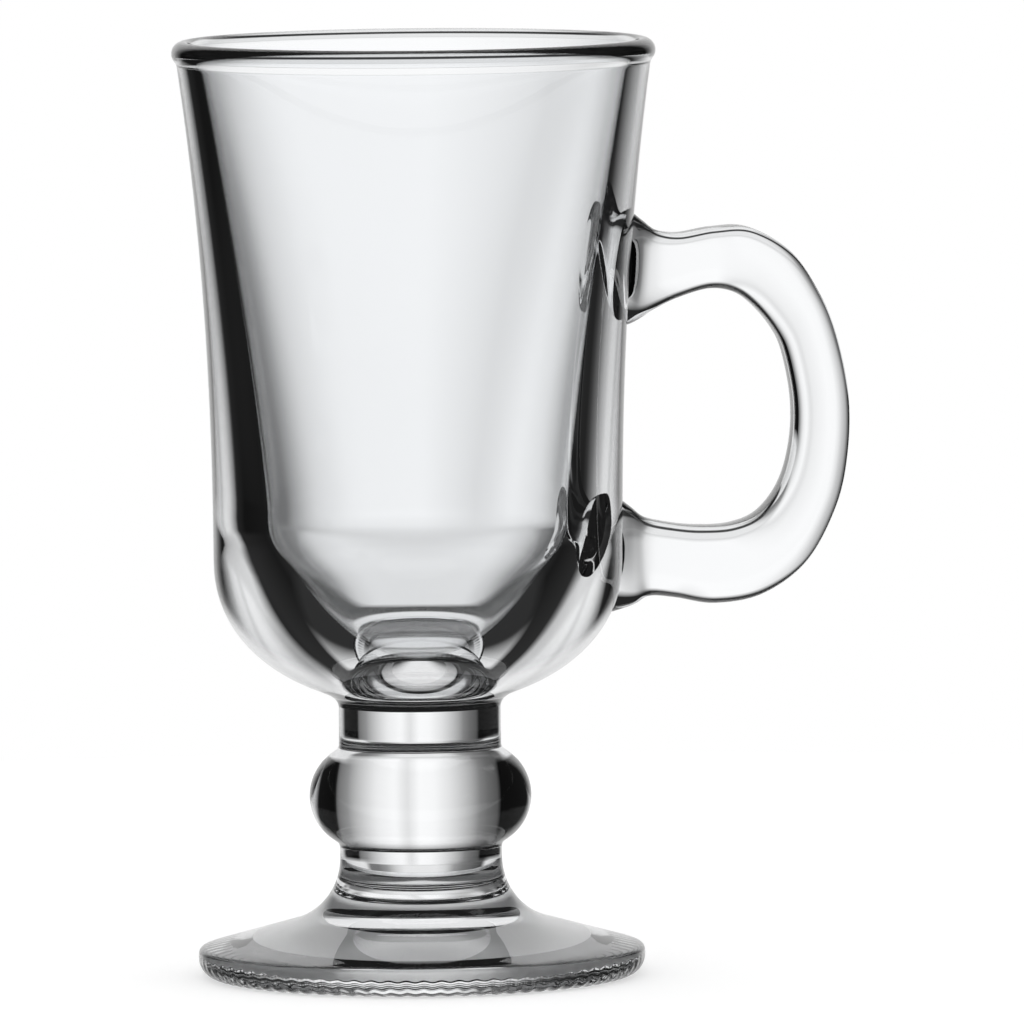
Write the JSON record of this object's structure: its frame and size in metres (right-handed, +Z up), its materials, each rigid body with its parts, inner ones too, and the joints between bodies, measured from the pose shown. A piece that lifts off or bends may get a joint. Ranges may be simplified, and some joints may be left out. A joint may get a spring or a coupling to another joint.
{
  "type": "irish coffee mug",
  "caption": "Footed clear glass mug for hot drinks: flared bowl on a thick base, knopped stem, sloping round foot and a D-shaped side handle.",
  "frame": {"origin": "on the mug's axis, at the plane it stands on", "axes": "+Z up along the mug's axis, +X towards the handle, +Y across the handle's plane"},
  "size_m": [0.1035, 0.074, 0.1435],
  "materials": {
    "clear_glass": "pressed soda-lime glass, clear, fire-polished smooth all over"
  },
  "bodies": {
    "root": {"bowl": "clear_glass", "upper_collar": "clear_glass", "knop": "clear_glass", "lower_collar": "clear_glass", "foot": "clear_glass", "handle": "clear_glass"}
  },
  "joints": []
}
